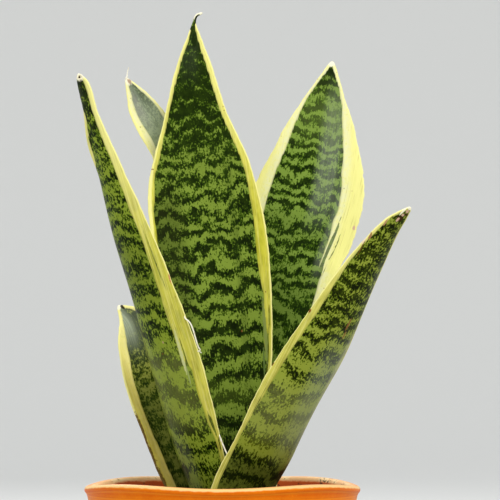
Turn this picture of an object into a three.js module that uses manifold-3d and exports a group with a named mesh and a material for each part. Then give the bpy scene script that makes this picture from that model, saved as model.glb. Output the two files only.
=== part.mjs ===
// Laurentii snake plant in a clay pot.
// Millimetres, +Z up. The pot's foot is centred on the origin and the plant faces -Y.
import * as THREE from "three";
import { mergeVertices } from "three/addons/utils/BufferGeometryUtils.js";
import Module from "manifold-3d";

const wasm = await Module();
wasm.setup();

// Gap that pieces keep where they touch
const GAP = 0.3;

// Pot: 14 cm across its rim, with a low lip and a wall that leans 12 degrees
const POT_HEIGHT = 125;
const RIM_RADIUS = 70;
const FOOT_RADIUS = 43.5;
const FOOT_ROUNDING = 1;
const WALL = 4.5;
const FLOOR = 8;
const CORNER = 4;
const CORNER_IN = 3;
const LIP_HEIGHT = 3.2;
const LIP_PROUD = 1.1;
const LIP_COVE = 1;
const POT_SIDES = 64;
const DRAIN_COUNT = 3;
const DRAIN_RADIUS = 4.5;
const DRAIN_RING = 20;
const DRAIN_SIDES = 12;

// Section of the lip from its outer foot to its inner edge, as distances in from the rim's
// radius and down from its top
const LIP_SECTION = [
  [0.2, 3],
  [0, 2],
  [0.3, 0.8],
  [1.4, 0],
  [3.4, 0.1],
  [5, 1.2],
];

// The rim is thrown by hand and rises and falls gently; below WAVE_START the wall is true
const WAVE_START = 114;
const WAVE_FULL = 121;
const RIM_LIFT = 1;
const RIM_FRONT = 0.3;
const RIM_OVAL = 1.2;
const RIM_FOURFOLD = 1;

// Soil: fills the pot to 12 mm below the rim and is heaped a little toward the leaves
const SOIL_LEVEL = 113;
const SOIL_HEAP = 2.5;
const SOIL_BUMP = 0.7;
const SOIL_BUMP_FADE = 6;
const SOIL_RINGS = 7;
const SOIL_EDGE_DROP = 1.5;
const SOIL_EDGE_WIDTH = 2;

// Rhizome: a squat crown with a flat top that the leaves stand on, two shoots and some roots
const LEAF_FOOT = 85;
const CROWN_CENTRE = [0, 4];
const CROWN_RADIUS = 29;
const CROWN_DEPTH = 22;
const CROWN_SIDES = 24;
const CROWN_LUMP = 0.05;
const CROWN_WIDEST = 0.4;
const SHOOT_SIDES = 10;
const SHOOTS = [
  { points: [[-18, 0, 74], [-34, -6, 74], [-44, -14, 80], [-46, -18, 88]], radii: [9, 8.5, 7, 1.5] },
  { points: [[16, 8, 73], [32, 14, 71], [42, 18, 75], [47, 19, 83]], radii: [9, 8, 6.5, 1.5] },
];
// Section of the crown from its underside up, as shares of its radius and of its depth
const CROWN_SECTION = [
  [0, 1],
  [0.5, 0.95],
  [0.85, 0.75],
  [1, CROWN_WIDEST],
  [0.97, 0.15],
  [0.9, 0],
  [0, 0],
];
const ROOT_COUNT = 7;
const ROOT_SIDES = 6;
const ROOT_RADII = [2.2, 1.8, 1.4, 0.8];
const ROOT_INNER = 16;
const ROOT_REACH = 9;
const ROOT_TOP = 70;
const ROOT_DROP = 12;

// Leaves. A station is the middle of the leaf's back at x, y, z, the width along its curve,
// half the angle that it curls through, and the way that its hollow face looks,
// in degrees from -Y toward +X. thick is the blade at its middle, at the foot and at the tip.
const LEAF_EDGE = 1;
const LEAF_ROWS = 24;
const LEAF_STRIPS = 8;
const ROWS_TO_TIP = 1.6;
const THIN_BASE = 0.9;
const THIN_BY_WIDTH = 0.12;
const LEAVES = {
  leaf_centre_tall: {
    thick: [5, 2.6],
    wave: { height: 0.5, length: 62, phase: 0.4 },
    stations: [
      [4, 5, LEAF_FOOT, 20, 55, 0],
      [3.5, 6.5, 113, 25, 50, 0],
      [1, 11, 150, 42, 38, 0],
      [-0.5, 16, 187, 54, 30, 0],
      [-3, 20, 220, 59, 25, 0],
      [-6.5, 23, 250, 60, 21, 0],
      [-11, 25, 285, 53, 18, 0],
      [-14, 26, 315, 33.5, 16, 0],
      [-15, 26, 342, 18, 16, 0],
      [-15, 26, 355, 8.5, 20, 0],
      [-15, 26, 363, 2.2, 20, 0],
      [-13.8, 26, 367, 1.4, 20, 0],
      [-10.6, 26, 368.6, 1, 20, 0],
    ],
  },
  leaf_left_long: {
    thick: [5, 2.4],
    wave: { height: 0.4, length: 70, phase: 1.5 },
    stations: [
      [-7.5, -5, LEAF_FOOT, 26, 60, 135],
      [-9, -7, 113, 32, 60, 135],
      [-20, -13, 150, 41, 52, 135],
      [-29.5, -20, 187, 42, 48, 135],
      [-39.3, -28, 220, 37, 47, 135],
      [-49.5, -35, 253, 30, 46, 135],
      [-58.5, -41, 285, 19, 38, 135],
      [-65.5, -45, 310, 10.5, 28, 135],
      [-69.3, -47, 325, 8.3, 25, 135],
      [-71.2, -48, 330, 2, 20, 135],
    ],
  },
  leaf_back_left: {
    thick: [3.6, 1.8],
    wave: { height: 0.4, length: 55, phase: 2.2 },
    stations: [
      [-4, 24, LEAF_FOOT, 17, 50, 5],
      [-5, 27, 113, 20, 50, 5],
      [-8, 31, 160, 26, 40, 5],
      [-13, 35, 210, 30, 32, 5],
      [-20, 38, 260, 27, 28, 5],
      [-30.5, 40, 300, 19, 25, 5],
      [-43, 42, 322, 14.5, 25, 5],
      [-51, 42, 336, 2, 20, 5],
    ],
  },
  leaf_back_right: {
    thick: [4.6, 2.4],
    wave: { height: 0.7, length: 48, phase: 0.9 },
    stations: [
      [12, 15, LEAF_FOOT, 26, 50, -10],
      [14, 18, 113, 30, 50, -10],
      [18, 24, 155, 39, 38, -10],
      [26, 31, 200, 50, 28, -10],
      [35, 37, 240, 58.5, 24, -10],
      [46, 42, 275, 59, 20, -10],
      [51, 46, 305, 41, 18, -10],
      [54.5, 48, 328, 20, 18, -10],
      [57.5, 49, 345.5, 2, 20, -10],
    ],
  },
  leaf_front_right: {
    thick: [5, 2.4],
    wave: { height: 0.5, length: 66, phase: 2.8 },
    stations: [
      [11, -13, LEAF_FOOT, 40, 56, -140],
      [13, -15, 113, 45, 56, -140],
      [28.2, -22, 145, 46, 54, -140],
      [45.5, -32, 180, 46.5, 50, -140],
      [62.2, -41, 212, 36, 48, -140],
      [75.2, -48, 238, 24, 44, -140],
      [84.6, -53, 254, 13, 36, -140],
      [93, -56, 263.5, 2, 20, -140],
    ],
  },
  leaf_left_short: {
    thick: [4.2, 2.2],
    wave: { height: 0.4, length: 50, phase: 1.1 },
    stations: [
      [-13, 12, LEAF_FOOT, 21, 62, 5],
      [-15, 15, 113, 26, 65, 5],
      [-23.5, 16, 140, 31, 60, 5],
      [-34.5, 17, 170, 33, 50, 10],
      [-42, 18, 195, 28, 42, 10],
      [-47, 18, 209, 17, 38, 10],
      [-54, 18, 216.5, 2, 30, 10],
    ],
  },
};

// Colours of the real surfaces
const CLAY = new THREE.MeshStandardMaterial({ color: 0xd96a1e, roughness: 0.6, metalness: 0 });
const LEAF = new THREE.MeshStandardMaterial({ color: 0x3f5a26, roughness: 0.4, metalness: 0 });
const EARTH = new THREE.MeshStandardMaterial({ color: 0x38291e, roughness: 0.95, metalness: 0 });
const ROOT = new THREE.MeshStandardMaterial({ color: 0xc9a066, roughness: 0.7, metalness: 0 });

const plant = new THREE.Group();

function addPiece(name, geometry, material) {
  const mesh = new THREE.Mesh(geometry, material.clone());
  mesh.name = name;
  plant.add(mesh);
}

// A solid for joining and cutting, from a closed geometry
function solidOf(geometry) {
  const bare = geometry.clone();
  bare.deleteAttribute("normal");
  bare.deleteAttribute("uv");
  const merged = mergeVertices(bare, 1e-4);
  const vertProperties = new Float32Array(merged.attributes.position.array);
  const triVerts = new Uint32Array(merged.index.array);
  return new wasm.Manifold(new wasm.Mesh({ numProp: 3, vertProperties, triVerts }));
}

function geometryOf(solid) {
  const mesh = solid.getMesh();
  const geometry = new THREE.BufferGeometry();
  geometry.setAttribute("position", new THREE.BufferAttribute(mesh.vertProperties, 3));
  geometry.setIndex(new THREE.BufferAttribute(mesh.triVerts, 1));
  geometry.computeVertexNormals();
  return geometry;
}

// Closed loops of points, each with as many points as the next, joined into one closed skin.
// pairUp closes an end across the loop, as a flat strip between its two long sides.
function skinOf(loops) {
  const size = loops[0].length;
  const positions = loops.flat().flatMap((p) => [p.x, p.y, p.z]);
  const faces = [];
  const at = (row, column) => row * size + (column % size);
  for (let row = 0; row < loops.length - 1; row++) {
    for (let column = 0; column < size; column++) {
      faces.push(at(row, column), at(row, column + 1), at(row + 1, column + 1));
      faces.push(at(row, column), at(row + 1, column + 1), at(row + 1, column));
    }
  }
  const pairUp = (row, flip) => {
    for (let k = 0; k < size / 2 - 1; k++) {
      const quad = [at(row, k), at(row, k + 1), at(row, size - 2 - k), at(row, size - 1 - k)];
      if (flip) quad.reverse();
      faces.push(quad[0], quad[1], quad[2], quad[0], quad[2], quad[3]);
    }
  };
  pairUp(0, true);
  pairUp(loops.length - 1, false);
  const geometry = new THREE.BufferGeometry();
  geometry.setAttribute("position", new THREE.Float32BufferAttribute(positions, 3));
  geometry.setIndex(faces);
  geometry.computeVertexNormals();
  return geometry;
}

// Values between the stations, by Hermite curves over the distance walked from foot to tip
function walkOf(stations) {
  const marks = [0];
  for (let i = 1; i < stations.length; i++) {
    const [a, b] = [stations[i - 1], stations[i]];
    marks.push(marks[i - 1] + Math.hypot(b[0] - a[0], b[1] - a[1], b[2] - a[2]));
  }
  const last = stations.length - 1;
  const slopes = stations.map((_, i) => {
    const [before, after] = [Math.max(i - 1, 0), Math.min(i + 1, last)];
    const between = marks[after] - marks[before];
    return stations[i].map((_, k) => (stations[after][k] - stations[before][k]) / between);
  });
  slopes[0].splice(0, 3, 0, 0, 1);
  const sample = (distance) => {
    let i = 0;
    while (i < last - 1 && distance > marks[i + 1]) i++;
    const span = marks[i + 1] - marks[i];
    const t = (distance - marks[i]) / span;
    const value = (k) =>
      (2 * t ** 3 - 3 * t ** 2 + 1) * stations[i][k] +
      (t ** 3 - 2 * t ** 2 + t) * span * slopes[i][k] +
      (3 * t ** 2 - 2 * t ** 3) * stations[i + 1][k] +
      (t ** 3 - t ** 2) * span * slopes[i + 1][k];
    const rate = (k) =>
      ((6 * t ** 2 - 6 * t) * (stations[i][k] - stations[i + 1][k])) / span +
      (3 * t ** 2 - 4 * t + 1) * slopes[i][k] +
      (3 * t ** 2 - 2 * t) * slopes[i + 1][k];
    return {
      middle: new THREE.Vector3(value(0), value(1), value(2)),
      along: new THREE.Vector3(rate(0), rate(1), rate(2)).normalize(),
      width: value(3),
      curl: THREE.MathUtils.degToRad(value(4)),
      facing: THREE.MathUtils.degToRad(value(5)),
    };
  };
  return { length: marks[last], sample };
}

// One loop round the blade at a distance from its foot: along the back and home along the hollow face
function bladeLoop(leaf, walk, distance, grow) {
  const { middle, along, width, curl, facing } = walk.sample(distance);
  const hollow = new THREE.Vector3(Math.sin(facing), -Math.cos(facing), 0);
  hollow.addScaledVector(along, -hollow.dot(along)).normalize();
  const side = new THREE.Vector3().crossVectors(along, hollow);
  const share = distance / walk.length;
  const fullest = THREE.MathUtils.lerp(leaf.thick[0], leaf.thick[1], share);
  const thickest = Math.min(fullest, THIN_BASE + THIN_BY_WIDTH * width);
  const bend = width / 2 / curl;
  const reach = 1 + grow / (width / 2);
  const { height, length, phase } = leaf.wave;
  const swell = height * Math.sin(Math.PI * share) ** 2;
  const swing = swell * Math.sin((2 * Math.PI * distance) / length + phase);
  const point = (across, face) => {
    const angle = across * reach * curl;
    const out = side.clone().multiplyScalar(-Math.sin(angle)).addScaledVector(hollow, Math.cos(angle));
    const spread = side.clone().multiplyScalar(bend * Math.sin(angle));
    const sag = hollow.clone().multiplyScalar(bend * (1 - Math.cos(angle)));
    const thickness = LEAF_EDGE + (thickest - LEAF_EDGE) * (1 - across ** 2);
    const lift = (face ? thickness + grow : -grow) + swing * across ** 3;
    return middle.clone().add(spread).add(sag).addScaledVector(out, lift);
  };
  const loop = [];
  for (let k = LEAF_STRIPS; k >= 0; k--) loop.push(point((2 * k) / LEAF_STRIPS - 1, false));
  for (let k = 0; k <= LEAF_STRIPS; k++) loop.push(point((2 * k) / LEAF_STRIPS - 1, true));
  return loop;
}

// A leaf, or with grow the room that it takes up; rows crowd toward the tip, where the shape is fine
function leafGeometry(leaf, grow = 0) {
  const walk = walkOf(leaf.stations);
  const loops = [];
  for (let row = 0; row < LEAF_ROWS; row++) {
    const distance = walk.length * (1 - (1 - row / (LEAF_ROWS - 1)) ** ROWS_TO_TIP);
    loops.push(bladeLoop(leaf, walk, distance, grow));
  }
  for (const p of loops[0]) p.z -= grow;
  return skinOf(loops);
}

// How far the rim stands above its true height; angle 0 is the front
function rimWave(angle) {
  const c = Math.cos(angle);
  return RIM_LIFT + RIM_FRONT * c + RIM_OVAL * c * c - RIM_FOURFOLD * Math.cos(4 * angle);
}

// A profile of [radius, height] pairs turned about +Z
function turned(profile, sides) {
  const points = profile.map(([radius, height]) => new THREE.Vector2(radius, height));
  return new THREE.LatheGeometry(points, sides).rotateX(Math.PI / 2);
}

function eachPoint(geometry, change) {
  const position = geometry.attributes.position;
  const p = new THREE.Vector3();
  for (let i = 0; i < position.count; i++) {
    p.fromBufferAttribute(position, i);
    change(p);
    position.setXYZ(i, p.x, p.y, p.z);
  }
  return geometry;
}

// The wall's outer radius at a height, under the lip
const wallTop = RIM_RADIUS - LIP_PROUD;
const wallLean = (wallTop - FOOT_RADIUS) / (POT_HEIGHT - LIP_HEIGHT);
const outerRadius = (height) => FOOT_RADIUS + wallLean * height;
const innerRadius = (height) => outerRadius(height) - WALL;

function potGeometry() {
  const coveFoot = POT_HEIGHT - LIP_HEIGHT - LIP_COVE;
  const shell = turned(
    [
      [0, 0],
      [FOOT_RADIUS - FOOT_ROUNDING, 0],
      [outerRadius(FOOT_ROUNDING), FOOT_ROUNDING],
      [outerRadius(WAVE_START), WAVE_START],
      [outerRadius(coveFoot), coveFoot],
      ...LIP_SECTION.map(([inward, down]) => [RIM_RADIUS - inward, POT_HEIGHT - down]),
      [innerRadius(WAVE_START), WAVE_START],
      [innerRadius(FLOOR + CORNER), FLOOR + CORNER],
      [innerRadius(FLOOR) - CORNER_IN, FLOOR],
      [0, FLOOR],
    ],
    POT_SIDES,
  );
  eachPoint(shell, (p) => {
    const share = THREE.MathUtils.smoothstep(p.z, WAVE_START, WAVE_FULL);
    p.z += share * rimWave(Math.atan2(p.x, -p.y));
  });
  let pot = solidOf(shell);
  for (let k = 0; k < DRAIN_COUNT; k++) {
    const angle = (2 * Math.PI * k) / DRAIN_COUNT;
    const hole = new THREE.CylinderGeometry(DRAIN_RADIUS, DRAIN_RADIUS, 3 * FLOOR, DRAIN_SIDES);
    hole.rotateX(Math.PI / 2).translate(DRAIN_RING * Math.sin(angle), -DRAIN_RING * Math.cos(angle), 0);
    pot = pot.subtract(solidOf(hole));
  }
  return geometryOf(pot);
}

// A round stem along points, its radius changing from one end to the other
function stemGeometry(points, radii, sides, grow) {
  const path = new THREE.CatmullRomCurve3(points.map((p) => new THREE.Vector3(...p)));
  const steps = radii.length - 1;
  const { normals, binormals, tangents } = path.computeFrenetFrames(steps);
  const loops = radii.map((radius, i) => {
    const centre = path.getPointAt(i / steps);
    if (i === 0) centre.addScaledVector(tangents[i], -grow);
    if (i === steps) centre.addScaledVector(tangents[i], grow);
    return Array.from({ length: sides }, (_, k) => {
      const angle = (2 * Math.PI * k) / sides;
      return centre
        .clone()
        .addScaledVector(normals[i], (radius + grow) * Math.cos(angle))
        .addScaledVector(binormals[i], (radius + grow) * Math.sin(angle));
    });
  });
  return skinOf(loops);
}

// The crown, its shoots and its roots, or with grow the room that they take up
function rhizomeSolid(grow = 0) {
  const top = LEAF_FOOT - GAP;
  const section = CROWN_SECTION.map(([reach, depth]) => [
    reach * (CROWN_RADIUS + grow),
    top - depth * CROWN_DEPTH + grow * Math.sign(CROWN_WIDEST - depth),
  ]);
  const crown = turned(section, CROWN_SIDES);
  eachPoint(crown, (p) => {
    const angle = Math.atan2(p.y, p.x);
    const lump = 1 + CROWN_LUMP * Math.sin(3 * angle) + 0.6 * CROWN_LUMP * Math.sin(5 * angle + 1);
    p.x = p.x * lump + CROWN_CENTRE[0];
    p.y = p.y * lump + CROWN_CENTRE[1];
  });
  let solid = solidOf(crown);
  for (const { points, radii } of SHOOTS) {
    solid = solid.add(solidOf(stemGeometry(points, radii, SHOOT_SIDES, grow)));
  }
  for (let k = 0; k < ROOT_COUNT; k++) {
    const angle = (2 * Math.PI * (k + 0.3 * Math.sin(5 * k))) / ROOT_COUNT;
    const points = ROOT_RADII.map((_, i) => [
      CROWN_CENTRE[0] + (ROOT_INNER + ROOT_REACH * i ** 0.7) * Math.cos(angle + 0.1 * i),
      CROWN_CENTRE[1] + (ROOT_INNER + ROOT_REACH * i ** 0.7) * Math.sin(angle + 0.1 * i),
      ROOT_TOP - ROOT_DROP * i,
    ]);
    solid = solid.add(solidOf(stemGeometry(points, ROOT_RADII, ROOT_SIDES, grow)));
  }
  return solid;
}

// The soil fills the pot, with a plain hole for each leaf and room for the rhizome
function soilGeometry() {
  const edgeHeight = SOIL_LEVEL - SOIL_EDGE_DROP;
  const edge = innerRadius(edgeHeight) - GAP;
  const rings = Array.from({ length: SOIL_RINGS }, (_, k) => [
    (edge - SOIL_EDGE_WIDTH) * (1 - k / SOIL_RINGS),
    SOIL_LEVEL,
  ]);
  const fill = turned(
    [
      [0, FLOOR + GAP],
      [innerRadius(FLOOR) - CORNER_IN - GAP, FLOOR + GAP],
      [innerRadius(FLOOR + CORNER) - GAP, FLOOR + CORNER + GAP / 2],
      [edge, edgeHeight],
      ...rings,
      [0, SOIL_LEVEL],
    ],
    POT_SIDES,
  );
  eachPoint(fill, (p) => {
    if (p.z < SOIL_LEVEL) return;
    const inward = Math.max(0, 1 - Math.hypot(p.x, p.y) / edge);
    const bumps = Math.sin(0.21 * p.x + 1) * Math.cos(0.17 * p.y) + Math.sin(0.33 * p.y + 0.25 * p.x);
    p.z += SOIL_HEAP * inward + SOIL_BUMP * bumps * Math.min(1, SOIL_BUMP_FADE * inward);
  });
  let soil = solidOf(fill).subtract(rhizomeSolid(GAP));
  for (const leaf of Object.values(LEAVES)) soil = soil.subtract(solidOf(leafGeometry(leaf, GAP)));
  return geometryOf(soil);
}

addPiece("pot", potGeometry(), CLAY);
addPiece("soil", soilGeometry(), EARTH);
addPiece("rhizome", geometryOf(rhizomeSolid()), ROOT);
for (const [name, leaf] of Object.entries(LEAVES)) addPiece(name, leafGeometry(leaf), LEAF);

export default plant;
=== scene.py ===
import math
import random

import bmesh
import bpy
import numpy as np
from mathutils import Euler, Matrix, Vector
from mathutils.bvhtree import BVHTree


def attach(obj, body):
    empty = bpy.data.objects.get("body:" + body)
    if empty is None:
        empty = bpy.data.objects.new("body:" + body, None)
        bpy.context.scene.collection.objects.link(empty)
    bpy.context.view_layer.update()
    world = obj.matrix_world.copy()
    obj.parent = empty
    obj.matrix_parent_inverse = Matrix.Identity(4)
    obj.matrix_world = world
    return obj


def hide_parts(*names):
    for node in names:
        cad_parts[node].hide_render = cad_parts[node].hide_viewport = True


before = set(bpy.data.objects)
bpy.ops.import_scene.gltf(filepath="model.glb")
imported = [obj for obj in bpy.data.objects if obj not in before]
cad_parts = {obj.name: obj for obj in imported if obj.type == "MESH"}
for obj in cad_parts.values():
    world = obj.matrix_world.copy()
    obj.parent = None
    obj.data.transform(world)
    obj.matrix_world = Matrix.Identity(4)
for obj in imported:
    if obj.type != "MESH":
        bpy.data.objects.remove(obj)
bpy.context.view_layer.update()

MM = 0.001

# Camera

CAMERA_PLACE = (14, -1500, 195)
CAMERA_PITCH = 1.894
CAMERA_VIEW = 9.6927
SENSOR = 36

camera_data = bpy.data.cameras.new("camera")
camera_data.sensor_fit = "HORIZONTAL"
camera_data.sensor_width = SENSOR
camera_data.lens = SENSOR / 2 / math.tan(math.radians(CAMERA_VIEW / 2))
camera_data.clip_start = 0.05
camera_data.clip_end = 50
camera = bpy.data.objects.new("camera", camera_data)
camera.location = [MM * v for v in CAMERA_PLACE]
camera.rotation_euler = (math.radians(90 + CAMERA_PITCH), 0, 0)
bpy.context.scene.collection.objects.link(camera)
bpy.context.scene.camera = camera

# The leaves' form, as in the solids

LEAF_FOOT = 85
LEAF_EDGE = 1
ROWS_TO_TIP = 1.6
THIN_BASE = 0.9
THIN_BY_WIDTH = 0.12

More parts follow.
